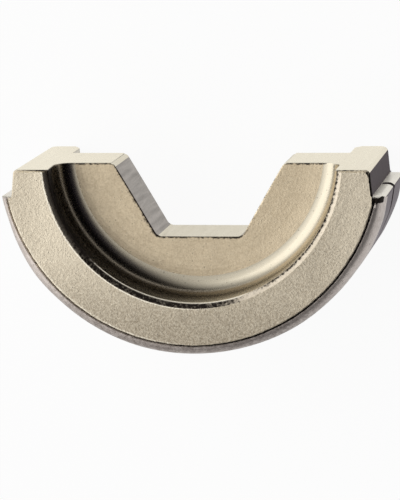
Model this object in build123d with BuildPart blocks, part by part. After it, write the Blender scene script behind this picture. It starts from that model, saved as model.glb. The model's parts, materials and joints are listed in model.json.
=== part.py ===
# One half of a hexagonal crimping die, the insert that a hydraulic cable-lug tool takes in its head.
# It is one steel piece: a round back that seats in the tool head, a turned pocket in each face,
# and a web between the pockets that carries half of the crimping hexagon.
#
# Frame: the die lies on its rear rim. X runs along the parting face, +Y points out of the parting
# face towards the other half, and +Z runs along the cable, from the rear rim up to the front rim.
# The origin is on the centre line of the closed hexagon, level with the rear rim face.

from build123d import *
from math import atan2, degrees, sqrt
import os

# Crimping hexagon and the web that carries it
hex_side = 10.0               # side of the hexagon that the two halves close to
hex_corner_radius = 1.0       # rounding of the two corners inside this half
hex_lip_radius = 0.3          # rounding from the parting face into the hexagon
web_thickness = 8.9           # the web is midway between the two rims

# Round back that seats in the tool head
die_width = 22.0              # rear rim face to front pad face
seat_radius = 23.1
seat_axis_height = 1.35       # the seat's axis lies above the parting face
groove_width = 1.6            # retaining groove, midway along the seat
groove_depth = 2.0

# Side flats and the ledges below them
ledge_drop = 3.2              # parting face down to the ledge
ledge_width = 1.95            # side flat out to the seat, level with the ledge
ledge_corner_radius = 0.8     # rounding from the ledge into the seat
flat_front_radius = 0.2       # rounding from a side flat into the front rim
flat_rear_radius = 1.1        # rounding from a side flat into the rear rim

# Cast shoulders that round the seat and the ledges off into the two rims
front_shoulder_width = 1.1    # across the rim
front_shoulder_length = 3.0   # along the seat
rear_shoulder_width = 1.1
rear_shoulder_length = 1.6

# Turned pockets
rim_wall = 6.3                # seat in to the pocket wall
pocket_fillet = 2.1           # front pocket wall into the web
front_mouth_width = 0.6       # bevel round the front pocket's mouth
front_mouth_depth = 0.4
rear_mouth_width = 0.9        # bevel round the rear pocket's mouth
rear_mouth_depth = 1.7

# Raised pad on the front rim, where the size mark of such a die would stand
pad_height = 0.3
pad_edge = 0.25               # step left round the pad's outline
pad_end_radius = 0.8          # rounded outer corners at the pad's two ends

# Positions that follow from the sizes above
front_rim_z = die_width - pad_height
front_shoulder_z = front_rim_z - front_shoulder_length
mid_z = die_width / 2
web_front_z = mid_z + web_thickness / 2
web_rear_z = mid_z - web_thickness / 2
pocket_radius = seat_radius - rim_wall
front_rim_radius = seat_radius - front_shoulder_width
rear_rim_radius = seat_radius - rear_shoulder_width
pad_radius = front_rim_radius - pad_edge
mouth_radius = pocket_radius + front_mouth_width
ledge_reach = sqrt(seat_radius**2 - (ledge_drop + seat_axis_height) ** 2)
side_flat_x = ledge_reach - ledge_width
clear = seat_radius + 2       # past the outside of the blank all round

seat_axis = Axis((0, seat_axis_height, 0), (0, 0, 1))
section_plane = Plane.XZ.offset(-seat_axis_height)

# The rounding from ledge to seat touches both, so its centre is one radius inside each
corner_y = ledge_drop + ledge_corner_radius
corner_x = sqrt((seat_radius - ledge_corner_radius) ** 2 - (corner_y + seat_axis_height) ** 2)
corner_turn = 90 + degrees(atan2(corner_y + seat_axis_height, corner_x))

with BuildPart() as die_half:
    # Turned blank, drawn as its section on one side of the seat's axis
    with BuildSketch(section_plane):
        with BuildLine():
            rear_shoulder = TangentArc(
                (seat_radius, rear_shoulder_length), (rear_rim_radius, 0), tangent=(0, -1)
            )
            front_shoulder = TangentArc(
                (seat_radius, front_shoulder_z), (front_rim_radius, front_rim_z), tangent=(0, 1)
            )
            groove = Polyline(
                rear_shoulder @ 0,
                (seat_radius, mid_z - groove_width / 2),
                (seat_radius - groove_depth, mid_z - groove_width / 2),
                (seat_radius - groove_depth, mid_z + groove_width / 2),
                (seat_radius, mid_z + groove_width / 2),
                front_shoulder @ 0,
            )
            front_rim = Polyline(
                front_shoulder @ 1,
                (pad_radius, front_rim_z),
                (pad_radius, die_width),
                (mouth_radius, die_width),
                (pocket_radius, die_width - front_mouth_depth),
                (pocket_radius, web_front_z + pocket_fillet),
            )
            pocket_round = JernArc(front_rim @ 1, (0, -1), pocket_fillet, -90)
            inside = Polyline(
                pocket_round @ 1,
                (0, web_front_z),
                (0, web_rear_z),
                (pocket_radius, web_rear_z),
                (pocket_radius, rear_mouth_depth),
                (pocket_radius + rear_mouth_width, 0),
                rear_shoulder @ 1,
            )
        make_face()
    revolve(axis=seat_axis)

    # Parting face: only the half on the seat's side is kept
    split(bisect_by=Plane.XZ, keep=Keep.TOP)

    # Side flats, with a ledge below each that rounds into the seat
    with BuildSketch() as relief:
        with BuildLine():
            ledge = Polyline(
                (side_flat_x, 1),
                (side_flat_x, -ledge_drop),
                (corner_x, -ledge_drop),
            )
            corner = JernArc(ledge @ 1, (1, 0), ledge_corner_radius, -corner_turn)
            outside = Polyline(
                corner @ 1,
                (clear, (corner @ 1).Y),
                (clear, 1),
                ledge @ 0,
            )
        make_face()
        mirror(about=Plane.YZ)
    extrude(amount=die_width, mode=Mode.SUBTRACT)

    # Half of the crimping hexagon through the web
    with BuildSketch() as hexagon:
        RegularPolygon(radius=hex_side, side_count=6)
        fillet(hexagon.vertices().group_by(Axis.Y)[0], radius=hex_corner_radius)
    extrude(amount=die_width, mode=Mode.SUBTRACT)

    # Rounded edges where the parting face runs into the hexagon
    lips = die_half.edges().filter_by(Axis.Z).group_by(Axis.Y)[-1]
    fillet(lips.filter_by_position(Axis.X, -hex_side - 1, hex_side + 1), radius=hex_lip_radius)

    # Step round the pad's ends: a strip along the parting face, the side flats and the ledges
    with BuildSketch(Plane.XY.offset(front_rim_z)) as pad_step:
        Rectangle(2 * clear, 2 * clear)
        with BuildSketch(mode=Mode.PRIVATE) as pad_outline:
            with Locations((0, -pad_edge)):
                Rectangle(
                    2 * (side_flat_x - pad_edge), clear, align=(Align.CENTER, Align.MAX)
                )
            fillet(pad_outline.vertices().group_by(Axis.Y)[-1], radius=pad_end_radius)
            with Locations((0, -ledge_drop - front_shoulder_width - pad_edge)):
                Rectangle(2 * clear, clear, align=(Align.CENTER, Align.MAX))
        add(pad_outline.sketch, mode=Mode.SUBTRACT)
    extrude(amount=pad_height, mode=Mode.SUBTRACT)

    # Rounded upright edges where the side flats meet the rims
    upright = die_half.edges().filter_by(Axis.Y)
    fillet(upright.group_by(Axis.Z)[0], radius=flat_rear_radius)
    upright = die_half.edges().filter_by(Axis.Y).filter_by_position(
        Axis.Z, front_rim_z - pad_height / 2, front_rim_z + pad_height / 2
    )
    fillet(upright.group_by(Axis.X)[0] + upright.group_by(Axis.X)[-1], radius=flat_front_radius)

    # The shoulders turn the corner at each ledge and run on across its front and rear ends
    with BuildSketch(Plane.YZ.offset(side_flat_x), Plane.YZ.offset(-clear)) as ledge_ends:
        with BuildLine():
            front_end = TangentArc(
                (-ledge_drop, front_shoulder_z),
                (-ledge_drop - front_shoulder_width, front_rim_z),
                tangent=(0, 1),
            )
            above_front = Polyline(front_end @ 1, (-ledge_drop, front_rim_z), front_end @ 0)
        make_face()
        with BuildLine():
            rear_end = TangentArc(
                (-ledge_drop, rear_shoulder_length),
                (-ledge_drop - rear_shoulder_width, 0),
                tangent=(0, -1),
            )
            above_rear = Polyline(rear_end @ 1, (-ledge_drop, 0), rear_end @ 0)
        make_face()
    extrude(amount=clear - side_flat_x, mode=Mode.SUBTRACT)

die_half.part.label = "die_half"

os.makedirs("parts", exist_ok=True)
export_step(die_half.part, "parts/die_half.step")

box = die_half.part.bounding_box()
print("size", [round(length, 2) for length in box.size], "solids", len(die_half.part.solids()))
print("volume in mm3", round(die_half.part.volume), "across flats", round(hex_side * sqrt(3), 2))
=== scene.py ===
import bpy
import json
from math import asin, atan2, ceil, cos, hypot, pi, radians, sin, sqrt, tan
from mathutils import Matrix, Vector, noise

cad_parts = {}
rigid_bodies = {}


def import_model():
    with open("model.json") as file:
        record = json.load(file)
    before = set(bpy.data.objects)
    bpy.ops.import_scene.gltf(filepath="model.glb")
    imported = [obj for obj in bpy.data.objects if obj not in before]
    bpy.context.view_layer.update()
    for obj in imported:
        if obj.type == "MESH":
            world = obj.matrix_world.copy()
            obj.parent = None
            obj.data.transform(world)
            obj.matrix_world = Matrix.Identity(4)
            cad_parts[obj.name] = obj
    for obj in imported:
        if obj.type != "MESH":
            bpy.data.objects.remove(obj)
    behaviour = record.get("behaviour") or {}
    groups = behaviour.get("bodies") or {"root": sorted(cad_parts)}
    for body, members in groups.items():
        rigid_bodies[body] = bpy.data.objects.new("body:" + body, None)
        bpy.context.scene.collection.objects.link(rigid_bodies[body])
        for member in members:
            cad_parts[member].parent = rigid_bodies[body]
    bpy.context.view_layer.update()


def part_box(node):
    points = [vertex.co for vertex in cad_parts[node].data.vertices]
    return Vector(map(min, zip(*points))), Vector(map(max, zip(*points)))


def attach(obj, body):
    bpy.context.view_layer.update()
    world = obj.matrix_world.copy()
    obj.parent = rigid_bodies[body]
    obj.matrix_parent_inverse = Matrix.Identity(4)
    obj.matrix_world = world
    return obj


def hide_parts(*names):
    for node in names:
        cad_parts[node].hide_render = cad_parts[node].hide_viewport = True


for leftover in list(bpy.data.objects):
    bpy.data.objects.remove(leftover)
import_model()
low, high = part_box("die_half")
print("frame loaded")

# The die is modelled in millimetres and brought to metres at the end.
# Its width and the bottom of its seat come from the solid.
metre = 1000.0
die = {
    "width": (high.z - low.z) * metre,
    "seatDrop": -low.y * metre,     # parting face down to the bottom of the seat
    "axisHeight": 1.35,             # the seat's axis lies above the parting face
    "padHeight": 0.3,
    "padEdge": 0.25,                # step left round the pad
    "padCorner": 0.8,
    "shoulder": 1.1,                # cast shoulders, across the rim
    "frontShoulder": 3.0,           # and along the seat, at the front
    "rearShoulder": 1.6,            # and at the rear
    "grooveWidth": 1.6,
    "grooveDepth": 1.6,             # less than the solid's, to stay clear of the side flats
    "rimWall": 6.3,                 # seat in to the pocket's wall
    "pocketFillet": 2.1,
    "frontMouth": (0.6, 0.4),       # bevel round a pocket's mouth, across the rim and into the pocket
    "rearMouth": (0.9, 1.7),
    "web": 8.9,
    "hexSide": 10.0,
    "hexCorner": 1.0,
    "hexLip": 0.3,                  # rounding from the parting face into the hexagon
    "flatX": 20.66,                 # side flats, level with the parting face
    "draft": 0.094,                 # they lean out by this much per millimetre down
    "ledgeDrop": 3.0,               # parting face down to the ledges
    "ledgeCorner": 0.8,
}
# radii about the seat's axis, and heights along the cable
seat = die["seatDrop"] + die["axisHeight"]
pocket = seat - die["rimWall"]
rim = seat - die["shoulder"]
padRadius = rim - die["padEdge"]
ledgeX = die["flatX"] + die["draft"] * die["ledgeDrop"]
rimZ = die["width"] - die["padHeight"]
middle = die["width"] / 2
webFront = middle + die["web"] / 2
webRear = middle - die["web"] / 2
filletEnd = pocket - die["pocketFillet"]


def deselectAll():
    if bpy.context.object and bpy.context.object.mode == "EDIT":
        bpy.ops.object.mode_set(mode="OBJECT")
    bpy.ops.object.select_all(action="DESELECT")


def makeActive(piece):
    deselectAll()
    piece.select_set(True)
    bpy.context.view_layer.objects.active = piece


def selectIn(piece, kind, parts, chosen):
    # opens the piece with only the chosen vertices, edges or faces selected
    makeActive(piece)
    bpy.ops.object.mode_set(mode="EDIT")
    bpy.ops.mesh.select_mode(type=kind)
    bpy.ops.mesh.select_all(action="DESELECT")
    bpy.ops.object.mode_set(mode="OBJECT")
    for part in parts:
        part.select = chosen(part)
    bpy.ops.object.mode_set(mode="EDIT")


def applyModifier(piece, kind, name, **settings):
    makeActive(piece)
    modifier = piece.modifiers.new(name, kind)
    for key, value in settings.items():
        setattr(modifier, key, value)
    bpy.ops.object.modifier_apply(modifier=modifier.name)


def roundedOutline(corners, support=0):
    # corners are (x, y, radius, segments); a corner with no radius stays sharp,
    # and support adds a point just past each rounding, which keeps the flats flat when shaded
    outline = []
    count = len(corners)
    for index, (x, y, radius, segments) in enumerate(corners):
        here = Vector((x, y))
        toLast = (Vector(corners[index - 1][:2]) - here).normalized()
        toNext = (Vector(corners[(index + 1) % count][:2]) - here).normalized()
        halfAngle = toLast.angle(toNext) / 2
        if radius == 0:
            outline.append(here)
            continue
        centre = here + (toLast + toNext).normalized() * radius / sin(halfAngle)
        start = here + toLast * radius / tan(halfAngle)
        end = here + toNext * radius / tan(halfAngle)
        if support:
            outline.append(start + toLast * support)
        for step in range(segments + 1):
            spoke = (start - centre).lerp(end - centre, step / segments)
            outline.append(centre + spoke.normalized() * radius)
        if support:
            outline.append(end + toNext * support)
    return outline


def ellipseArc(centreX, centreY, width, height, fromTurn, toTurn, segments):
    arc = []
    for step in range(segments + 1):
        turn = radians(fromTurn + (toTurn - fromTurn) * step / segments)
        arc.append((centreX + width * cos(turn), centreY + height * sin(turn), 0, 0))
    return arc


def subdivided(outline, spans):
    # adds points on long straight runs; spans give the place near which each starts, and the spacing
    points = []
    for index, point in enumerate(outline):
        points.append(point)
        after = outline[(index + 1) % len(outline)]
        for (x, y), spacing in spans:
            starts = (point - Vector((x, y))).length < spacing * 3
            if starts and (after - point).length > spacing * 2:
                pieces = ceil((after - point).length / spacing)
                points += [point.lerp(after, step / pieces) for step in range(1, pieces)]
    return points


def faceOutwards(piece):
    makeActive(piece)
    bpy.ops.object.mode_set(mode="EDIT")
    bpy.ops.mesh.select_all(action="SELECT")
    bpy.ops.mesh.normals_make_consistent(inside=False)
    bpy.ops.object.mode_set(mode="OBJECT")
    return piece


def tracePath(name, points):
    # one vertex, extruded from point to point and closed
    deselectAll()
    bpy.ops.mesh.primitive_plane_add(size=1)
    piece = bpy.context.object
    piece.name = name
    bpy.ops.object.mode_set(mode="EDIT")
    bpy.ops.mesh.select_mode(type="VERT")
    bpy.ops.mesh.select_all(action="SELECT")
    bpy.ops.mesh.merge(type="CENTER")
    bpy.ops.transform.translate(value=points[0])
    for start, end in zip(points, points[1:]):
        move = Vector(end) - Vector(start)
        bpy.ops.mesh.extrude_region_move(TRANSFORM_OT_translate={"value": move})
    bpy.ops.object.mode_set(mode="OBJECT")
    piece.data.vertices[0].select = True
    piece.data.vertices[len(points) - 1].select = True
    bpy.ops.object.mode_set(mode="EDIT")
    bpy.ops.mesh.edge_face_add()
    return piece


def hexPoint(share):
    # the hexagon's outline, with its corners rounded, at a share of the half turn below its centre
    turn = pi + pi * share
    offCorner = (turn + pi / 6) % (pi / 3) - pi / 6
    side = die["hexSide"] * cos(pi / 6) / cos(pi / 6 - abs(offCorner))
    centre = die["hexSide"] - die["hexCorner"] / sin(pi / 3)
    reach = die["hexCorner"] / tan(pi / 3)
    touch = atan2(reach * sin(pi / 3), die["hexSide"] - reach * cos(pi / 3))
    if abs(offCorner) < touch and 0.1 < share < 0.9:
        across = centre * sin(offCorner)
        side = centre * cos(offCorner) + sqrt(die["hexCorner"] ** 2 - across ** 2)
    point = Vector((side * cos(turn), side * sin(turn)))
    untilRound = max(die["hexLip"] + min(point.y, 0), 0)
    point.x *= 1 + (die["hexLip"] - sqrt(die["hexLip"] ** 2 - untilRound ** 2)) / die["hexSide"]
    return point


def smoothStep(value, start, end):
    share = min(max((value - start) / (end - start), 0), 1)
    return share * share * (3 - 2 * share)


def fading(value, start, end):
    return 1 - smoothStep(value, start, end)


def near(value, target, width):
    return fading(abs(value - target), 0, width)


def within(value, start, full, fades, end):
    return smoothStep(value, start, full) * fading(value, fades, end)


print("helpers ready")

cast = {
    "padDrift": 0.13,           # the pad sits this far towards the left of the seat's axis
    "mouthDrift": 0.17,         # and the pocket's mouth this far towards the right
    "driftEnds": 1.2,           # this far inside the pad's edge, one drift gives way to the other
    "wave": (0.05, 0.9),        # waviness of the pad's outer edge, and waves per millimetre
    "chip": (0.05, 3.1),        # finer raggedness of the pad's edges
    "hollow": 0.012,            # depth of the dents in the pad's face
    "dents": ((0.6, 1.7), (0.4, 4.3)),              # share of the depth, and waves per millimetre
    # an amount, and where it lies as shares of the half turn from the left end to the right one
    "dressedLeft": (0.14, 0.08, 0.13),              # ground off the seat just below the left ledge
    "dressedRight": (0.2, 0.91, 0.95),              # and below the right one
    "flatRight": (0.1, 0.66, 0.76, 0.81, 0.85),     # the seat is flatter on the lower right
    "fullLeft": (0.1, 0.19, 0.07),                  # and fuller on the lower left
    "shortShoulder": (1.45, 0.06, 0.2, 0.38, 0.62),     # the front shoulder, on the lower left
}


def uneven(place, share, radius, z):
    # casting faults and dressing, as a small move out from or in to the seat's axis
    outward = Vector((place.x, place.y - die["axisHeight"])).normalized()
    outward.y *= 1 - abs(2 * share - 1) ** 8      # the two ends stay flat
    spot = Vector((place.x, place.y, 0))
    move = 0
    if z > rimZ - die["frontShoulder"] and radius > pocket:
        change = padRadius - cast["driftEnds"]
        atPad = within(radius, change, padRadius - 0.3, padRadius + 0.2, seat)
        move -= cast["padDrift"] * outward.x * atPad
        onEdge = near(radius, padRadius, 0.3) * smoothStep(z, rimZ - 0.4, rimZ - 0.2)
        amount, waves = cast["wave"]
        move += onEdge * amount * noise.noise(spot * waves)
        onEdge = max(onEdge, near(radius, pocket + die["frontMouth"][0], 0.35))
        if z > die["width"] - 1:
            move += cast["mouthDrift"] * outward.x * fading(radius, pocket + 1, change)
        amount, waves = cast["chip"]
        move += onEdge * amount * noise.noise(spot * waves)
    if radius > rim:
        atSeat = (radius - rim) / (seat - rim)
        amount, *where = cast["dressedLeft"]
        move -= atSeat * amount * fading(share, *where)
        amount, *where = cast["dressedRight"]
        move -= atSeat * amount * smoothStep(share, *where)
        amount, *where = cast["flatRight"]
        move -= atSeat * amount * within(share, *where)
        amount, *where = cast["fullLeft"]
        move += atSeat * amount * near(share, *where)
    return place + outward * move


def castHeight(place, share, radius, z):
    spot = Vector((place.x, place.y, 5))
    if z > die["width"] - 0.01:
        dent = 1 + sum(amount * noise.noise(spot * waves) for amount, waves in cast["dents"])
        return z - cast["hollow"] * dent
    if radius > rim - 0.01 and z > rimZ - die["frontShoulder"] - 0.01:
        amount, *where = cast["shortShoulder"]
        return rimZ - (rimZ - z) * (1 - amount * within(share, *where) / die["frontShoulder"])
    return z


blank = {
    "steps": 400,               # faces round the half turn
    "edge": 0.12,               # rounding of a machined edge
    "grooveFoot": 0.2,
    "mouthEdge": 0.2,
    "padRound": 0.1,
    "rearMouthEdge": 0.25,
    "rearPocketEdge": 0.3,
    "crevice": [(0.16, 0.08), (0.1, 0.24), (0.03, 0.24)],   # past the pad's edge, and below the rim
    "padLean": 0.02,            # the pad's edge leans in by this
    "support": 0.06,            # extra points this far past each rounding keep the flats flat
    "throat": 9.6,              # radius in the section that becomes the hexagon
    "seam": 0.1,                # the rings stop this far under the parting face
    "partingEdge": [(0.012, 0.045), (0.028, 0.035), (0.03, 0.02), (0.012, 0)],    # inward, upward
}


def drawSection():
    # the blank on one side of the axis: rear rim, round the seat, over the pad and in through the web
    edge = blank["edge"]
    throat = blank["throat"]
    mouthX, mouthZ = die["frontMouth"]
    rearX, rearZ = die["rearMouth"]
    grooveLow = middle - die["grooveWidth"] / 2
    grooveHigh = middle + die["grooveWidth"] / 2
    grooveFloor = seat - die["grooveDepth"]
    frontTurn = rimZ - die["frontShoulder"]
    corners = [(pocket + rearX, 0, blank["rearMouthEdge"], 3)]
    corners += ellipseArc(rim, die["rearShoulder"], die["shoulder"], die["rearShoulder"], -90, 0, 7)
    corners += [
        (seat, grooveLow, edge, 2),
        (grooveFloor, grooveLow, blank["grooveFoot"], 2),
        (grooveFloor, grooveHigh, blank["grooveFoot"], 2),
        (seat, grooveHigh, edge, 2),
    ]
    corners += ellipseArc(rim, frontTurn, die["shoulder"], die["frontShoulder"], 0, 88, 10)
    corners += [(padRadius + out, rimZ - below, 0, 0) for out, below in blank["crevice"]]
    corners += [
        (padRadius - blank["padLean"], die["width"], blank["padRound"], 3),
        (pocket + mouthX, die["width"], blank["mouthEdge"], 3),
        (pocket, die["width"] - mouthZ, blank["mouthEdge"], 3),
        (pocket, webFront, die["pocketFillet"], 16),
        (throat, webFront, edge, 2),
        (throat, webRear, edge, 2),
        (pocket, webRear, blank["rearPocketEdge"], 3),
        (pocket, rearZ, blank["rearPocketEdge"], 3),
    ]
    return subdivided(roundedOutline(corners, blank["support"]), [
        ((padRadius - 0.17, die["width"]), 0.17),   # the pad's face
        ((throat + 0.2, webRear), 0.8),             # both faces of the web
        ((filletEnd, webFront), 0.5),
        ((throat, webFront - 0.2), 0.5),            # and the hexagon's sides
    ])


def turnBlank():
    axis = (0, die["axisHeight"], 0)
    outline = drawSection()
    piece = tracePath("dieBody", [(point.x, 0, point.y) for point in outline])
    bpy.ops.mesh.select_all(action="SELECT")
    bpy.ops.transform.translate(value=axis)
    bpy.ops.mesh.spin(steps=blank["steps"], angle=pi, center=axis, axis=(0, 0, 1))
    bpy.ops.object.mode_set(mode="OBJECT")
    print("section", len(outline), "vertices", len(piece.data.vertices))
    return piece


def fitRings(piece):
    # each ring starts and ends just under the parting face, and the throat takes the hexagon's outline
    axis = die["axisHeight"]
    throat = blank["throat"]
    for vertex in piece.data.vertices:
        x, y, z = vertex.co
        radius = hypot(x, y - axis)
        share = (atan2(y - axis, x) % (2 * pi) - pi) / pi
        if share < -0.5:        # the right end of the half turn, level with the axis
            share = 1.0
        share = min(max(share, 0), 1)
        outer = filletEnd if z > middle else pocket
        onCircle = max(radius, outer)
        lift = asin((axis + blank["seam"]) / onCircle)
        turn = pi + lift + share * (pi - 2 * lift)
        place = Vector((onCircle * cos(turn), axis + onCircle * sin(turn)))
        if radius < outer:
            inner = hexPoint(share)
            inner.y -= blank["seam"] * abs(2 * share - 1) ** 8
            place = inner.lerp(place, (radius - throat) / (outer - throat))
        vertex.co = (*uneven(place, share, radius, z), castHeight(place, share, radius, z))


def closeParting(piece):
    # fills both parting faces and raises them to their height with a small rounded edge
    makeActive(piece)
    bpy.ops.object.mode_set(mode="EDIT")
    bpy.ops.mesh.select_all(action="SELECT")
    bpy.ops.mesh.fill_holes(sides=0)
    faceOutwards(piece)
    selectIn(piece, "FACE", piece.data.polygons, lambda face: len(face.vertices) > 8)
    for inward, upward in blank["partingEdge"]:
        bpy.ops.mesh.inset(thickness=inward, depth=upward)
    bpy.ops.object.mode_set(mode="OBJECT")


def prism(name, points, direction):
    # the outline is filled before it is extruded, so the cutter is closed at both ends
    piece = tracePath(name, points)
    bpy.ops.mesh.select_all(action="SELECT")
    bpy.ops.mesh.edge_face_add()
    bpy.ops.mesh.extrude_region_move(TRANSFORM_OT_translate={"value": direction})
    return faceOutwards(piece)


def block(name, lowCorner, highCorner):
    size = Vector(highCorner) - Vector(lowCorner)
    deselectAll()
    bpy.ops.mesh.primitive_cube_add(size=1, location=Vector(lowCorner) + size / 2, scale=size)
    bpy.ops.object.transform_apply(location=True, rotation=True, scale=True)
    bpy.context.object.name = name
    return bpy.context.object


def mirrored(piece):
    # a second copy on the other side, in the same mesh
    settings = {"use_axis": (True, False, False), "use_mirror_merge": False}
    applyModifier(piece, "MIRROR", "otherSide", **settings)
    return faceOutwards(piece)


def cutAway(piece, cutter):
    settings = {"operation": "DIFFERENCE", "solver": "MANIFOLD", "object": cutter}
    applyModifier(piece, "BOOLEAN", cutter.name, **settings)
    bpy.data.objects.remove(cutter)
    print("cut", len(piece.data.vertices))


past = 26.0             # outside the die all round
cutterLength = 5.0      # for the cutters that run across an end


def cutFlats(piece):
    # everything above the ledges goes, apart from a block with rounded edges
    flats = {
        "rearRound": 1.1,
        "topRound": 0.55,
        "topGap": 0.03,         # the block's top clears the parting face
        "deep": 8.0,            # and its bottom is well below the ledges
        "below": 2.0,           # the slab passes the rear rim and the parting face by these
        "above": 3.0,
    }
    slabLow = (-past, -die["ledgeDrop"], -flats["below"])
    slab = block("flatsCutter", slabLow, (past, flats["above"], past))
    keepLow = (-die["flatX"], -flats["deep"], 0)
    keep = block("keepBlock", keepLow, (die["flatX"], flats["topGap"], past + flats["below"]))
    for vertex in keep.data.vertices:
        if vertex.co.y < 0:
            vertex.co.x *= 1 - die["draft"] * vertex.co.y / die["flatX"]

    def upright(edge):
        ends = [keep.data.vertices[index].co for index in edge.vertices]
        return all(abs(end.z) < 0.01 for end in ends) and ends[0].x * ends[1].x > 0

    def topEdge(edge):
        ends = [keep.data.vertices[index].co for index in edge.vertices]
        return all(end.y > 0 for end in ends) and not all(end.z > die["width"] for end in ends)

    selectIn(keep, "EDGE", keep.data.edges, upright)
    bpy.ops.mesh.bevel(offset=flats["rearRound"], segments=6)
    bpy.ops.object.mode_set(mode="OBJECT")
    selectIn(keep, "EDGE", keep.data.edges, topEdge)
    bpy.ops.mesh.bevel(offset=flats["topRound"], segments=5)
    bpy.ops.object.mode_set(mode="OBJECT")
    cutAway(slab, keep)
    cutAway(piece, slab)


def cutLedges(piece):
    ledge = {
        "segments": 8,
        "beyond": 1.0,          # the cutters reach this far past what they cut
        "endSteps": 10,
        "endAbove": 0.5,
        "frontPast": 24.0,
        "rearPast": -2.0,
        "late": 4.0,            # holds the front end level for longer, so that it drops more steeply
    }
    # rounded corner from each ledge into the seat, all along
    radius = die["ledgeCorner"]
    drop = die["ledgeDrop"] + radius
    centreX = sqrt((seat - radius) ** 2 - (drop + die["axisHeight"]) ** 2)
    turn = atan2(-drop - die["axisHeight"], centreX)
    beyond = ledge["beyond"]
    arc = []
    for step in range(ledge["segments"] + 1):
        angle = pi / 2 + (turn - pi / 2) * step / ledge["segments"]
        arc.append((centreX + radius * cos(angle), -drop + radius * sin(angle), -beyond))
    arc += [(past, arc[-1][1], -beyond), (past, beyond, -beyond), (arc[0][0], beyond, -beyond)]
    cutAway(piece, mirrored(prism("ledgeCutter", arc, (0, 0, past))))

    # the shoulders run on across both ends of each ledge
    level = -die["ledgeDrop"]
    top = ledge["endAbove"]
    front = [(ledgeX, level, rimZ - die["frontShoulder"])]
    rear = [(ledgeX, level, die["rearShoulder"])]
    for step in range(1, ledge["endSteps"] + 1):
        angle = pi / 2 * step / ledge["endSteps"]
        down = level - die["shoulder"] * (1 - cos(angle))
        downLate = level - die["shoulder"] * (1 - cos(angle)) ** ledge["late"]
        front.append((ledgeX, downLate, rimZ + die["frontShoulder"] * (sin(angle) - 1)))
        rear.append((ledgeX, down, die["rearShoulder"] * (1 - sin(angle))))
    for side, beyondEnd in ((front, ledge["frontPast"]), (rear, ledge["rearPast"])):
        side += [(ledgeX, side[-1][1], beyondEnd), (ledgeX, top, beyondEnd), (ledgeX, top, side[0][2])]
    cutAway(piece, mirrored(prism("frontEndCutter", front, (cutterLength, 0, 0))))
    cutAway(piece, mirrored(prism("rearEndCutter", rear, (cutterLength, 0, 0))))


def cutPadEnds(piece):
    # a ragged step round each end of the pad
    pad = {
        "floor": rimZ - 0.05,
        "ragged": 0.07,
        "grain": 1.6,           # waves per millimetre of the ragged edge
        "spacing": 0.16,
        "start": 16.4,          # inner end of the step, along the parting face
        "corner": 20.46,        # outer corner of the pad's end, at the parting face
        "foot": (20.88, -3.5),  # and where its side meets the ledge
        "topRound": 0.05,
        "sideRound": 0.2,
        "roundSteps": 4,
        "height": 2.0,          # of its cutter
        "beyond": 1.0,          # the cutters of its edges reach this far past the parting face
        "above": 24.0,
        "outside": 22.0,
    }
    begin = pad["start"]
    beyond = pad["beyond"]
    floorZ = pad["floor"]
    edgeY = -die["padEdge"]
    lowY = -die["ledgeDrop"] - die["shoulder"] - die["padEdge"]
    run = [
        (begin, edgeY, 0, 0),
        (pad["corner"], edgeY, die["padCorner"], 6),
        (*pad["foot"], 0, 0),
        (sqrt(padRadius ** 2 - (lowY - die["axisHeight"]) ** 2), lowY, 0, 0),
        (past, lowY, 0, 0),
        (past, beyond, 0, 0),
        (begin, beyond, 0, 0),
    ]
    sideStart = (pad["corner"], edgeY - die["padCorner"])
    longRuns = [((begin, edgeY), pad["spacing"]), (sideStart, pad["spacing"])]
    points = []
    for point in subdivided(roundedOutline(run), longRuns):
        rough = noise.noise(Vector((point.x, point.y, 3)) * pad["grain"]) * pad["ragged"]
        fine = noise.noise(Vector((point.x, point.y, 9)) * pad["grain"] * 3) * pad["ragged"]
        onEdge = lowY + 0.01 < point.y < edgeY + 0.01
        points.append((point.x + (rough + fine) * onEdge, point.y + (rough - fine) * onEdge, floorZ))
    cutAway(piece, mirrored(prism("padEndCutter", points, (0, 0, pad["height"]))))

    # rounded edges of the step, towards the side flat and towards the parting face
    side = []
    top = []
    lean = die["draft"] * (beyond + die["ledgeDrop"])
    flatX = die["flatX"] - die["draft"] * beyond
    for step in range(pad["roundSteps"] + 1):
        angle = pi / 2 * step / pad["roundSteps"]
        inward, down = sin(angle) - 1, cos(angle) - 1
        side.append((flatX + pad["sideRound"] * inward, beyond, floorZ + pad["sideRound"] * down))
        top.append((begin, pad["topRound"] * inward, floorZ + pad["topRound"] * down))
    above = pad["above"]
    side += [(pad["outside"], beyond, side[-1][2]), (pad["outside"], beyond, above)]
    side += [(side[0][0], beyond, above)]
    top += [(begin, beyond, top[-1][2]), (begin, beyond, above), (begin, top[0][1], above)]
    along = (lean, -beyond - die["ledgeDrop"], 0)
    cutAway(piece, mirrored(prism("sideEdgeCutter", side, along)))
    cutAway(piece, mirrored(prism("topEdgeCutter", top, (cutterLength, 0, 0))))


dieBody = turnBlank()
fitRings(dieBody)
closeParting(dieBody)
print("blank turned")
cutFlats(dieBody)
cutLedges(dieBody)
cutPadEnds(dieBody)
print("cuts made")

makeActive(dieBody)
bpy.ops.object.mode_set(mode="EDIT")
bpy.ops.mesh.select_all(action="SELECT")
bpy.ops.mesh.remove_doubles(threshold=0.002)
bpy.ops.mesh.normals_make_consistent(inside=False)
bpy.ops.transform.resize(value=(1 / metre, 1 / metre, 1 / metre), center_override=(0, 0, 0))
bpy.ops.object.mode_set(mode="OBJECT")
bpy.ops.object.shade_smooth_by_angle(angle=radians(35))
applyModifier(dieBody, "WEIGHTED_NORMAL", "flatShading", keep_sharp=True, weight=80)
print("triangles", sum(len(face.vertices) - 2 for face in dieBody.data.polygons))


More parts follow.
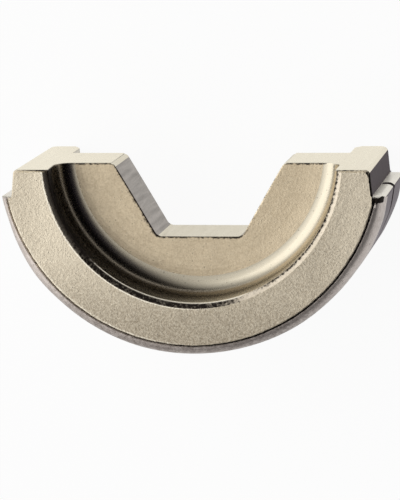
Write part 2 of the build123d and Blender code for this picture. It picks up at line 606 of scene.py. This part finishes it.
toRight = (-8, 12)      # along this stretch of X the left side's painted highlights, wear, painted shade and grime give way to the right side's
# bright marks: painted highlights on the lit edges, partly rubbed wear
wearAndHighlight = {
    # each edge's strength, how far past the edge its middle lies, and its half width
    "mouth": (0.8, 0.14, 0.15),
    "padEdge": (0.5, -0.1, 0.2),
    "padEnd": (0.45, -0.05, 0.15),
    "lip": (0.9, 0.04, 0.14),
    "webEdge": 0.45,
}
# dark marks: painted shade in crevices, on steps and along edges, with some grime
grimeAndShadeMarks = {
    "lipLeft": (0.85, 0.02, 0.22),
    "lipRight": (0.6, 0.08, 0.24),
    # these are given for the left and for the right
    "crevice": (0.62, 0.95),
    "creviceWidth": (0.17, 0.20),
    "mouth": (0.45, 0.30),
    "webEdge": (0.62, 0.37),
    # and these are the same all along
    "crevicePast": 0.09,        # outside the pad's edge
    "creviceCleaner": 0.2,      # at the top of the left side
    "bevel": 0.6,
    "padEnd": 1.0,
    "ledgeFront": 0.9,
    "leftStep": 0.22,
    "webCorner": 0.52,
    "partingEdge": 0.28,
}
# painted shade in the pocket
pocketShade = {
    "wall": (0.62, 0.37),
    "deeper": 0.7,              # further down the wall on the left
    "fillet": 0.15,
    "bevel": 0.2,
    "lip": 0.95,
}
# painted shading, darker towards the bottom, to the right and at the far left, and in the pocket except on
# its right
shadingGradientAmounts = {
    "pocket": 0.6,
    "brighter": 0.5,            # less of it on the right of the web
    "farLeft": 0.3,
    "right": (0.6, 0.15),       # less again at the far right
}


def gradual(value, start, end, atStart, atEnd):
    return atStart + (atEnd - atStart) * smoothStep(value, start, end)


def mouthEdge(x):
    # between the pad and the bevel
    return lipEdge(x) + die["frontMouth"][0]


def lipEdge(x):
    # between the bevel and the pocket's wall
    return pocket + cast["mouthDrift"] * x / pocket


def edgeMark(mark, place, edge):
    strength, offset, halfWidth = mark
    return strength * near(place, edge + offset, halfWidth)


def wearAndHighlightAt(x, y, z, radius):
    # painted highlights on the raised edges, mostly on the left where the light falls, partly rubbed wear
    onTop = smoothStep(z, die["width"] - 0.35, die["width"] - 0.05)
    onLeft = fading(x, *toRight)
    bright = onLeft * onTop * edgeMark(wearAndHighlight["mouth"], radius, mouthEdge(x))
    bright = max(bright, onLeft * onTop * edgeMark(wearAndHighlight["padEdge"], radius, padRadius))
    bright = max(bright, onTop * edgeMark(wearAndHighlight["padEnd"], y, -die["padEdge"]))
    if x > 4 and -8.5 < y < -0.2 and webFront - 0.14 < z < webFront - 0.01:
        bright = wearAndHighlight["webEdge"]
    # a painted highlight along the pocket's lip
    if z > webFront + 3:
        bright = max(bright, within(x, -14, -9, 5, 8) * edgeMark(wearAndHighlight["lip"], radius, lipEdge(x)))
    return bright


def grimeAndShadeAt(x, y, z, radius):
    # painted shade in crevices, on steps and along edges, with some grime
    onTop = smoothStep(z, die["width"] - 0.35, die["width"] - 0.05)
    mouth = mouthEdge(x)
    lip = lipEdge(x)
    besidePad = y > -die["ledgeDrop"] - 0.9 and radius > padRadius - 1.5
    grimeAndShade = 0
    # painted shade in the crevice round the pad, stronger on the right
    if not besidePad:
        creviceAt = padRadius - cast["padDrift"] * x / padRadius + grimeAndShadeMarks["crevicePast"]
        fromCrevice = abs(radius - creviceAt) / gradual(x, *toRight, *grimeAndShadeMarks["creviceWidth"])
        strength = gradual(x, *toRight, *grimeAndShadeMarks["crevice"])
        strength -= grimeAndShadeMarks["creviceCleaner"] * fading(x, -20, -17)
        grimeAndShade = strength * max(1 - fromCrevice, 0) * smoothStep(z, rimZ - 0.6, rimZ - 0.25)
    # a dark line along the pad's inner edge
    atMouth = gradual(x, *toRight, *grimeAndShadeMarks["mouth"])
    grimeAndShade = max(grimeAndShade, atMouth * near(radius, mouth + 0.03, 0.1) * onTop)
    # painted shade along the pocket's lip, on the left and on the right
    if z > webFront + 3:
        grimeAndShade = max(grimeAndShade, fading(x, -14, -9) * edgeMark(grimeAndShadeMarks["lipLeft"], radius, lip))
        grimeAndShade = max(grimeAndShade, smoothStep(x, 4, 10) * edgeMark(grimeAndShadeMarks["lipRight"], radius, lip))
    # painted shade on the bevel, on the left
    if z > die["width"] - 0.5 and lip + 0.09 < radius < mouth + 0.04:
        grimeAndShade = max(grimeAndShade, grimeAndShadeMarks["bevel"] * within(x, -17, -12, 3, 9))
    if besidePad:
        # painted shadow on the strip round the pad's right end, the front of the right ledge, and the step
        # on the left
        if 19.6 < x < ledgeX + 0.05 and y < -0.12 and rimZ - 0.5 < z < die["width"] - 0.12:
            grimeAndShade = grimeAndShadeMarks["padEnd"]
        if x > ledgeX - 0.05 and y < -die["ledgeDrop"] - 0.04 and z > rimZ - 1:
            grimeAndShade = grimeAndShadeMarks["ledgeFront"]
        if x < 0 and rimZ - 0.1 < z < die["width"] - 0.1:
            grimeAndShade = max(grimeAndShade, grimeAndShadeMarks["leftStep"])
    if abs(z - webFront) < 0.15 and y < -0.03 and radius < filletEnd + 0.3:
        # darker along the web's front edges by the parting face, and painted shadow round the hexagon
        toHexagon = max(abs(x) * cos(pi / 6) - y * 0.5, -y) - die["hexSide"] * cos(pi / 6)
        grimeAndShade = max(grimeAndShade, grimeAndShadeMarks["webCorner"] * fading(-y, 0.15, 0.4))
        if z > webFront - 0.08:
            grimeAndShade = max(grimeAndShade, gradual(x, 4, 6, *grimeAndShadeMarks["webEdge"]) * fading(toHexagon, 0.1, 0.3))
    elif -0.12 < y < -0.02:
        grimeAndShade = max(grimeAndShade, grimeAndShadeMarks["partingEdge"])
    return grimeAndShade


def pocketShadeAt(x, y, z, radius):
    # painted shade, brown, on the pocket's wall, lip and bevel and round the foot of its fillet, worst on
    # the left
    if z < webFront - 0.01 or z > die["width"] - 0.02 or radius > mouthEdge(x) - 0.02:
        return 0.0
    begins = pocket - 0.7 - pocketShade["deeper"] * fading(x, -9, 4)
    onWall = gradual(x, -6, 9, *pocketShade["wall"]) * smoothStep(radius, begins, begins + 0.5)
    aboutFillet = pocketShade["fillet"] * smoothStep(radius, filletEnd - 1.2, filletEnd) * fading(x, -10, 8)
    if radius > pocket + 0.05:
        onWall = pocketShade["bevel"] * fading(x, 0, 7)
    if abs(radius - pocket - 0.02) < 0.16 and z > webFront + 3:
        onWall = max(onWall, pocketShade["lip"] * fading(x, -13, -9))
    return max(onWall, aboutFillet)


def shadingGradientAt(x, y, z, radius):
    # painted shading: the plating is paler and smoother where this is low, and darker where it is high
    if z < die["width"] - 1 and radius < pocket:
        onRight = smoothStep(x, 2, 13) * smoothStep(radius, filletEnd - 3, filletEnd)
        return shadingGradientAmounts["pocket"] - shadingGradientAmounts["brighter"] * onRight
    farLeft = shadingGradientAmounts["farLeft"] * smoothStep(-x, 17, 20)
    onRight = smoothStep(x, -14, 8) * gradual(x, 14, 20, *shadingGradientAmounts["right"])
    return max(farLeft, onRight, smoothStep(-y, 8, 20))


# the painted masks: wear and painted highlights, grime and painted shade, painted shade in the pocket, and
# painted shading
masks = {"wearAndHighlight": wearAndHighlightAt, "grimeAndShade": grimeAndShadeAt, "shadeAndStain": pocketShadeAt, "shadingGradient": shadingGradientAt}


def paintMasks(piece):
    for name in masks:
        piece.data.attributes.new(name, "FLOAT", "POINT")
    layers = {name: piece.data.attributes[name] for name in masks}
    for index, vertex in enumerate(piece.data.vertices):
        x, y, z = vertex.co * metre
        radius = hypot(x, y - die["axisHeight"])
        onParting = y > -0.01
        for name, layer in layers.items():
            layer.data[index].value = 0.0 if onParting else masks[name](x, y, z, radius)


def newGroup(name, inputs, outputs):
    group = bpy.data.node_groups.new(name, "ShaderNodeTree")
    for title, kind, value in inputs:
        socket = group.interface.new_socket(name=title, in_out="INPUT", socket_type=kind)
        if value is not None:
            socket.default_value = value
    for title, kind in outputs:
        group.interface.new_socket(name=title, in_out="OUTPUT", socket_type=kind)
    return group, group.nodes.new("NodeGroupInput"), group.nodes.new("NodeGroupOutput")


def addNode(tree, kind, settings=None, values=None):
    node = tree.nodes.new(kind)
    for key, value in (settings or {}).items():
        setattr(node, key, value)
    for key, value in (values or {}).items():
        node.inputs[key].default_value = value
    return node


def addMath(tree, operation, first, second=None, clamp=False):
    node = addNode(tree, "ShaderNodeMath", {"operation": operation, "use_clamp": clamp})
    for index, value in enumerate((first, second)):
        if value is None:
            continue
        if isinstance(value, (int, float)):
            node.inputs[index].default_value = value
        else:
            tree.links.new(value, node.inputs[index])
    return node.outputs[0]


def addRange(tree, value, fromLow, fromHigh, toLow=0.0, toHigh=1.0):
    node = addNode(tree, "ShaderNodeMapRange", None, {1: fromLow, 2: fromHigh, 3: toLow, 4: toHigh})
    tree.links.new(value, node.inputs[0])
    return node.outputs[0]


def addMix(tree, factor, first, second, blend="MIX"):
    node = addNode(tree, "ShaderNodeMix", {"data_type": "RGBA", "blend_type": blend, "clamp_factor": True})
    for index, value in ((0, factor), (6, first), (7, second)):
        if isinstance(value, (int, float, tuple)):
            node.inputs[index].default_value = value
        else:
            tree.links.new(value, node.inputs[index])
    return node.outputs[2]


def makeCastGrain():
    # sand-cast skin: soft lumps, fine grit and a few pits
    group, start, end = newGroup("castGrain", [
        ("Vector", "NodeSocketVector", None),
        ("Lump Scale", "NodeSocketFloat", 1500.0),
        ("Grit Scale", "NodeSocketFloat", 6000.0),
        ("Pits", "NodeSocketFloat", 0.5),
    ], [("Height", "NodeSocketFloat"), ("Tone", "NodeSocketFloat"), ("Pit", "NodeSocketFloat")])
    vector = start.outputs["Vector"]
    lumps = addNode(group, "ShaderNodeTexNoise", None, {"Detail": 4.0, "Roughness": 0.6})
    grit = addNode(group, "ShaderNodeTexNoise", None, {"Detail": 3.0, "Roughness": 0.7})
    pits = addNode(group, "ShaderNodeTexVoronoi", {"feature": "F1"})
    fewer = addNode(group, "ShaderNodeTexNoise", None, {"Detail": 1.0})
    for node in (lumps, grit, pits, fewer):
        scale = "Grit Scale" if node == grit else "Lump Scale"
        group.links.new(vector, node.inputs["Vector"])
        group.links.new(start.outputs[scale], node.inputs["Scale"])
    hollow = addRange(group, pits.outputs["Distance"], 0.12, 0.40, 1.0, 0.0)
    chosen = addRange(group, fewer.outputs["Fac"], 0.58, 0.66)
    pit = addMath(group, "MULTIPLY", addMath(group, "MULTIPLY", hollow, chosen), start.outputs["Pits"])
    gritty = addMath(group, "MULTIPLY", grit.outputs["Fac"], 0.5)
    lumpy = addMath(group, "ADD", lumps.outputs["Fac"], gritty)
    group.links.new(addMath(group, "SUBTRACT", lumpy, pit), end.inputs["Height"])
    lumpTone, gritTone = [addRange(group, node.outputs["Fac"], 0.38, 0.62) for node in (lumps, grit)]
    tone = addMath(group, "ADD", lumpTone, gritTone)
    group.links.new(addMath(group, "MULTIPLY", tone, 0.5), end.inputs["Tone"])
    group.links.new(pit, end.inputs["Pit"])
    return group


def makeTurningMarks():
    # rings about the seat's axis, as a lathe tool leaves them
    group, start, end = newGroup("turningMarks", [
        ("Vector", "NodeSocketVector", None),
        ("Spacing Scale", "NodeSocketFloat", 2500.0),
    ], [("Height", "NodeSocketFloat"), ("Tone", "NodeSocketFloat")])
    toAxis = (0, -die["axisHeight"] / metre, 0)
    centred = addNode(group, "ShaderNodeMapping", {"vector_type": "POINT"}, {"Location": toAxis})
    group.links.new(start.outputs["Vector"], centred.inputs["Vector"])
    split = addNode(group, "ShaderNodeSeparateXYZ")
    group.links.new(centred.outputs["Vector"], split.inputs[0])
    squares = [addMath(group, "MULTIPLY", split.outputs[axis], split.outputs[axis]) for axis in (0, 1)]
    radius = addMath(group, "SQRT", addMath(group, "ADD", squares[0], squares[1]))
    along = addMath(group, "ADD", radius, addMath(group, "MULTIPLY", split.outputs[2], -0.7))
    wander = addNode(group, "ShaderNodeTexNoise", None, {"Scale": 300.0, "Detail": 2.0})
    group.links.new(start.outputs["Vector"], wander.inputs["Vector"])
    bent = addMath(group, "ADD", along, addMath(group, "MULTIPLY", wander.outputs["Fac"], 0.00015))
    ringNoise = {"Detail": 3.0, "Roughness": 0.6}
    rings = addNode(group, "ShaderNodeTexNoise", {"noise_dimensions": "1D"}, ringNoise)
    group.links.new(bent, rings.inputs["W"])
    group.links.new(start.outputs["Spacing Scale"], rings.inputs["Scale"])
    group.links.new(rings.outputs["Fac"], end.inputs["Height"])
    group.links.new(addRange(group, rings.outputs["Fac"], 0.3, 0.7), end.inputs["Tone"])
    return group


def makeBroachLines():
    # straight marks along the cable's direction, as a broach or a planer leaves them
    group, start, end = newGroup("broachLines", [
        ("Vector", "NodeSocketVector", None),
        ("Spacing Scale", "NodeSocketFloat", 1400.0),
    ], [("Height", "NodeSocketFloat"), ("Tone", "NodeSocketFloat")])
    drawn = addNode(group, "ShaderNodeMapping", {"vector_type": "POINT"}, {"Scale": (1, 1, 0.06)})
    group.links.new(start.outputs["Vector"], drawn.inputs["Vector"])
    markNoise = {"Detail": 4.0, "Roughness": 0.65, "Distortion": 0.3}
    marks = addNode(group, "ShaderNodeTexNoise", None, markNoise)
    group.links.new(drawn.outputs["Vector"], marks.inputs["Vector"])
    group.links.new(start.outputs["Spacing Scale"], marks.inputs["Scale"])
    group.links.new(marks.outputs["Fac"], end.inputs["Height"])
    group.links.new(addRange(group, marks.outputs["Fac"], 0.35, 0.65), end.inputs["Tone"])
    return group


def makeRaggedMask():
    # breaks a painted mask up into ragged patches, for wear and painted highlights on edges, and for grime
    # and painted shade
    group, start, end = newGroup("raggedMask", [
        ("Vector", "NodeSocketVector", None),
        ("Mask", "NodeSocketFloat", 0.0),
        ("Scale", "NodeSocketFloat", 4000.0),
        ("Sharpness", "NodeSocketFloat", 0.3),
    ], [("Mask", "NodeSocketFloat")])
    patches = addNode(group, "ShaderNodeTexNoise", None, {"Detail": 3.0, "Roughness": 0.6})
    group.links.new(start.outputs["Vector"], patches.inputs["Vector"])
    group.links.new(start.outputs["Scale"], patches.inputs["Scale"])
    pushed = addMath(group, "ADD", start.outputs["Mask"], patches.outputs["Fac"])
    begins = 0.8
    node = addNode(group, "ShaderNodeMapRange", None, {1: begins, 3: 0.0, 4: 1.0})
    group.links.new(addMath(group, "ADD", start.outputs["Sharpness"], begins), node.inputs[2])
    group.links.new(pushed, node.inputs[0])
    group.links.new(node.outputs[0], end.inputs["Mask"])
    return group


castGrain = makeCastGrain()
turningMarks = makeTurningMarks()
raggedMask = makeRaggedMask()
broachLines = makeBroachLines()

# each finish has two colours, its roughness where pale and where dark, the scales of its lumps and
# grit, and the depth of its grain; some have rings or lines, clouds of stain or a tinted sheen (edge),
# and a bare one takes no wear, painted highlight, grime or painted shade
finishes = {
    "castPad": {
        "colour": (0.86, 0.775, 0.62, 1), "dark": (0.50, 0.42, 0.31, 1), "rough": (0.40, 0.60),
        "lumps": 3600.0, "grit": 5400.0, "grain": 0.50, "clouds": 0.1,
    },
    "castShoulder": {
        "colour": (0.74, 0.675, 0.63, 1), "dark": (0.36, 0.31, 0.285, 1), "rough": (0.50, 0.66),
        "lumps": 1800.0, "grit": 7000.0, "grain": 0.14,
    },
    "partingFace": {
        "colour": (0.94, 0.89, 0.75, 1), "dark": (0.86, 0.80, 0.66, 1), "rough": (0.26, 0.38),
        "lumps": 2500.0, "grit": 7000.0, "grain": 0.05, "lines": 0.05, "bare": True,
        "edge": (1, 0.97, 0.90, 1),
    },
    "ledge": {
        "colour": (0.98, 0.94, 0.84, 1), "dark": (0.90, 0.84, 0.73, 1), "rough": (0.38, 0.50),
        "lumps": 2500.0, "grit": 7000.0, "grain": 0.08, "bare": True,
    },
    "turnedWeb": {
        "colour": (0.86, 0.73, 0.53, 1), "dark": (0.56, 0.45, 0.30, 1), "rough": (0.32, 0.44),
        "lumps": 3200.0, "grit": 5500.0, "grain": 0.26, "rings": 0.05, "clouds": 0.13,
    },
    "pocketFillet": {
        "colour": (0.62, 0.57, 0.46, 1), "dark": (0.55, 0.49, 0.38, 1), "rough": (0.25, 0.30),
        "lumps": 2500.0, "grit": 5500.0, "grain": 0.02, "rings": 0.03,
    },
    "mouthBevel": {
        "colour": (0.82, 0.74, 0.62, 1), "dark": (0.62, 0.54, 0.42, 1), "rough": (0.46, 0.56),
        "lumps": 2500.0, "grit": 6500.0, "grain": 0.08, "rings": 0.03,
    },
    # darker than the hexagon's bottom flat, which takes the parting face's finish: partly painted shade on
    # the flanks
    "broachedFlankShaded": {
        "colour": (0.46, 0.41, 0.36, 1), "dark": (0.17, 0.15, 0.13, 1), "rough": (0.30, 0.46),
        "lumps": 3000.0, "grit": 7000.0, "grain": 0.10, "lines": 0.45,
    },
    # a darker copy of the plating, as painted shade on the seat and the rear
    "shadedRoundBack": {
        "colour": (0.30, 0.27, 0.28, 1), "dark": (0.22, 0.195, 0.20, 1), "rough": (0.30, 0.42),
        "lumps": 1800.0, "grit": 7000.0, "grain": 0.10,
        "edge": (0.42, 0.40, 0.42, 1),
    },
    # a darker copy of the plating, as painted shade on the side flats, which face away from the light
    "shadedSideFlat": {
        "colour": (0.24, 0.22, 0.225, 1), "dark": (0.16, 0.145, 0.15, 1), "rough": (0.52, 0.64),
        "lumps": 1800.0, "grit": 7000.0, "grain": 0.12, "bare": True,
        "edge": (0.30, 0.28, 0.29, 1),
    },
}
tones = {
    "paleHighlightAndWear": (0.95, 0.89, 0.76, 1),      # painted highlight, and plating rubbed bright
    # near black, for painted shade and grime
    "grimeAndShade": (0.035, 0.028, 0.024, 1),
    "shadeAndStain": (0.15, 0.115, 0.085, 1),   # brown for painted shade in the pocket, and for patches of stain
    "pit": (0.10, 0.08, 0.06, 1),
}


def addOn(tree, value, extra, amount):
    return addMath(tree, "ADD", value, addMath(tree, "MULTIPLY", extra, amount))


def shared(tree, first, second, share):
    # the two values mixed, with this share of the second
    return addOn(tree, addMath(tree, "MULTIPLY", first, 1 - share), second, share)


def makeFinish(name, look):
    material = bpy.data.materials.new(name)
    material.use_nodes = True
    tree = material.node_tree
    shader = tree.nodes["Principled BSDF"]
    shader.inputs["Metallic"].default_value = 1.0
    place = addNode(tree, "ShaderNodeTexCoord").outputs["Object"]
    scales = {"Lump Scale": look["lumps"], "Grit Scale": look["grit"]}
    grain = addNode(tree, "ShaderNodeGroup", {"node_tree": castGrain}, scales)
    tree.links.new(place, grain.inputs["Vector"])
    tone = grain.outputs["Tone"]
    toolMarks = {}
    for kind, group, share in (("rings", turningMarks, 0.25), ("lines", broachLines, 0.6)):
        if kind in look:
            toolMarks[kind] = addNode(tree, "ShaderNodeGroup", {"node_tree": group})
            tree.links.new(place, toolMarks[kind].inputs["Vector"])
            tone = shared(tree, tone, toolMarks[kind].outputs["Tone"], share)
    # where the painted shading is strong the colour shows its dark spots, and where it is weak they fade
    painted = {}
    for kind in masks:
        painted[kind] = addNode(tree, "ShaderNodeAttribute", {"attribute_name": kind}).outputs["Fac"]
    contrast = addRange(tree, painted["shadingGradient"], 0.0, 1.0, 0.3, 1.0)
    darker = addMath(tree, "SUBTRACT", 1.0, tone, True)
    tone = addMath(tree, "SUBTRACT", 1.0, addMath(tree, "MULTIPLY", darker, contrast))
    colour = addMix(tree, tone, look["dark"], look["colour"])
    # painted shading darkens the colour
    gradientShade = addRange(tree, painted["shadingGradient"], 0.0, 1.0, 1.0, 0.76)
    colour = addMix(tree, 1.0, colour, gradientShade, "MULTIPLY")
    shadeAndStain = painted["shadeAndStain"]
    if "clouds" in look:
        cloudNoise = {"Scale": 420.0, "Detail": 5.0, "Roughness": 0.65}
        clouds = addNode(tree, "ShaderNodeTexNoise", None, cloudNoise)
        tree.links.new(place, clouds.inputs["Vector"])
        patchy = addMath(tree, "MULTIPLY", addRange(tree, clouds.outputs["Fac"], 0.45, 0.7), look["clouds"])
        shadeAndStain = addMath(tree, "ADD", shadeAndStain, patchy, True)
    # painted shade in the pocket, with patches of stain
    colour = addMix(tree, shadeAndStain, colour, tones["shadeAndStain"])
    colour = addMix(tree, grain.outputs["Pit"], colour, tones["pit"])
    broken = {"wearAndHighlight": 0.0, "grimeAndShade": 0.0}
    for kind, scale in (("wearAndHighlight", 5000.0), ("grimeAndShade", 3000.0)):
        if look.get("bare"):
            continue
        ragged = addNode(tree, "ShaderNodeGroup", {"node_tree": raggedMask}, {"Scale": scale})
        tree.links.new(place, ragged.inputs["Vector"])
        tree.links.new(painted[kind], ragged.inputs["Mask"])
        broken[kind] = ragged.outputs["Mask"]
    # painted highlights and wear, then painted shade and grime
    colour = addMix(tree, broken["wearAndHighlight"], colour, tones["paleHighlightAndWear"])
    colour = addMix(tree, broken["grimeAndShade"], colour, tones["grimeAndShade"])
    tree.links.new(colour, shader.inputs["Base Color"])
    if "edge" in look:
        shader.inputs["Specular Tint"].default_value = look["edge"]
    rough = addRange(tree, tone, 0.0, 1.0, look["rough"][1], look["rough"][0])
    rough = addMath(tree, "SUBTRACT", rough, addMath(tree, "MULTIPLY", broken["wearAndHighlight"], 0.12))
    rough = addOn(tree, rough, broken["grimeAndShade"], 0.2)
    tree.links.new(rough, shader.inputs["Roughness"])
    height = addMath(tree, "MULTIPLY", grain.outputs["Height"], look["grain"])
    for kind, node in toolMarks.items():
        height = addOn(tree, height, node.outputs["Height"], look[kind])
    bump = addNode(tree, "ShaderNodeBump", None, {"Strength": 0.6, "Distance": 0.00012})
    tree.links.new(height, bump.inputs["Height"])
    tree.links.new(bump.outputs["Normal"], shader.inputs["Normal"])
    return material


def finishOf(centre, normal):
    x, y, z = centre * metre
    radius = hypot(x, y - die["axisHeight"])
    onPad = radius + cast["padDrift"] * x / padRadius < padRadius + 0.06
    if normal.y > 0.6 and abs(y + die["ledgeDrop"]) < 1.2 and abs(x) > ledgeX - 0.05:
        return "ledge"
    if normal.y > 0.3 and y > -0.5 and abs(x) < die["flatX"] + 0.1:
        return "partingFace"
    if webRear < z < webFront - 0.02 and radius < 15 and y < 0 and abs(normal.z) < 0.9:
        # the hexagon's bottom flat takes the pale parting face finish, and its flanks the darker one, which
        # is partly painted shade
        return "partingFace" if normal.y > 0.9 else "broachedFlankShaded"
    if radius < pocket + 0.9 and normal.z < 0.97 and z > die["width"] - 0.55:
        return "mouthBevel"
    if radius < pocket + 0.35 and z < die["width"] - 0.4:
        return "turnedWeb" if radius < filletEnd + 0.05 else "pocketFillet"
    if z > rimZ - 0.3 and (onPad or z > rimZ + 0.02):
        return "castPad"
    if abs(normal.x) > 0.9 and y > -die["ledgeDrop"] - 0.01 and abs(x) > die["flatX"] - 0.05:
        return "shadedSideFlat"
    if z > rimZ - die["frontShoulder"] - 0.2:
        return "castShoulder"
    return "shadedRoundBack"


dieBody.data.materials.clear()
for name, look in finishes.items():
    dieBody.data.materials.append(makeFinish(name, look))
order = list(finishes)
for face in dieBody.data.polygons:
    face.material_index = order.index(finishOf(face.center, face.normal))
paintMasks(dieBody)
print("finishes made")

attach(dieBody, "root")
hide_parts("die_half")


def buildStage():
    room = {
        "floorSize": 4.0,
        "floorColour": (0.92, 0.92, 0.92, 1),
        "seenWhite": 0.94,          # share of plain white that the camera sees on the floor
        "mirroredWhite": 0.80,      # and that the metal mirrors
        # a pale wall on the left and a dark one on the right, by direction along X
        "walls": [
            (-1.0, (1.30, 1.29, 1.27, 1)), (-0.4, (1.42, 1.41, 1.39, 1)), (-0.26, (1.28, 1.27, 1.25, 1)),
            (-0.14, (0.92, 0.91, 0.89, 1)), (0.04, (0.42, 0.41, 0.40, 1)), (0.13, (0.10, 0.095, 0.11, 1)),
            (0.3, (0.031, 0.027, 0.046, 1)), (1.0, (0.026, 0.022, 0.038, 1)),
        ],
        "horizon": (0.25, 1.0, 0.08),   # the room darkens towards the floor, between these heights
        "tilt": 0.8,                    # and higher up on the right
    }
    deselectAll()
    bpy.ops.mesh.primitive_plane_add(size=room["floorSize"], location=(0, 0, low.z))
    floor = bpy.context.object
    floor.name = "floor"
    paint = bpy.data.materials.new("floorPaint")
    paint.use_nodes = True
    tree = paint.node_tree
    shader = tree.nodes["Principled BSDF"]
    shader.inputs["Base Color"].default_value = room["floorColour"]
    shader.inputs["Roughness"].default_value = 0.9
    glow = addNode(tree, "ShaderNodeEmission", None, {"Strength": 1.0})
    rays = addNode(tree, "ShaderNodeLightPath")
    mirrored = addMath(tree, "MAXIMUM", rays.outputs["Is Glossy Ray"], rays.outputs["Is Transmission Ray"])
    seen = addMath(tree, "MULTIPLY", rays.outputs["Is Camera Ray"], room["seenWhite"])
    share = addMath(tree, "MAXIMUM", seen, addMath(tree, "MULTIPLY", mirrored, room["mirroredWhite"]))
    both = addNode(tree, "ShaderNodeMixShader")
    tree.links.new(share, both.inputs[0])
    tree.links.new(shader.outputs[0], both.inputs[1])
    tree.links.new(glow.outputs[0], both.inputs[2])
    tree.links.new(both.outputs[0], tree.nodes["Material Output"].inputs["Surface"])
    floor.data.materials.append(paint)

    world = bpy.data.worlds.new("room")
    world.use_nodes = True
    tree = world.node_tree
    direction = addNode(tree, "ShaderNodeSeparateXYZ")
    tree.links.new(addNode(tree, "ShaderNodeTexCoord").outputs["Generated"], direction.inputs[0])
    ramp = addNode(tree, "ShaderNodeValToRGB")
    while len(ramp.color_ramp.elements) < len(room["walls"]):
        ramp.color_ramp.elements.new(0.5)
    for stop, (side, colour) in zip(ramp.color_ramp.elements, room["walls"]):
        stop.position = (side + 1) / 2
        stop.color = colour
    tree.links.new(addRange(tree, direction.outputs["X"], -1.0, 1.0), ramp.inputs[0])
    tilted = addMath(tree, "MULTIPLY", direction.outputs["X"], room["tilt"])
    height = addMath(tree, "SUBTRACT", direction.outputs["Z"], tilted)
    start, end, darkest = room["horizon"]
    shade = addRange(tree, height, start, end, darkest, 1.0)
    colour = addMix(tree, 1.0, ramp.outputs["Color"], shade, "MULTIPLY")
    tree.links.new(colour, tree.nodes["Background"].inputs["Color"])
    bpy.context.scene.world = world


def addLamp(name, place, aim, size, power, colour=(1, 1, 1)):
    bpy.ops.object.light_add(type="AREA", location=place)
    lamp = bpy.context.object
    lamp.name = name
    lamp.data.shape = "RECTANGLE"
    lamp.data.size, lamp.data.size_y = size
    lamp.data.energy = power
    lamp.data.color = colour
    lamp.rotation_euler = (Vector(aim) - Vector(place)).to_track_quat("-Z", "Y").to_euler()


def addCamera():
    view = {
        "aim": (-0.00213, -0.01239, 0.00234),
        "distance": 0.39004,
        "lens": 232.3,
        "turns": (-9.138, 9.111, 0.25),     # degrees
    }
    bpy.ops.object.camera_add()
    camera = bpy.context.object
    camera.rotation_mode = "ZYX"
    camera.rotation_euler = [radians(turn) for turn in view["turns"]]
    bpy.context.view_layer.update()
    backwards = camera.matrix_world.to_3x3() @ Vector((0, 0, 1))
    camera.location = Vector(view["aim"]) + backwards * view["distance"]
    camera.data.lens = view["lens"]
    camera.data.sensor_width = 36
    camera.data.clip_start = 0.01
    bpy.context.scene.camera = camera


buildStage()
addLamp("keyLamp", (-0.34, 0.10, 0.24), (0, 0, 0.01), (0.5, 0.4), 0.3, (1, 0.98, 0.95))
addLamp("fillLamp", (0.22, -0.24, 0.15), (0, 0, 0.01), (0.14, 0.14), 0.03)
addCamera()
bpy.context.scene.view_settings.view_transform = "Standard"
print("stage set")
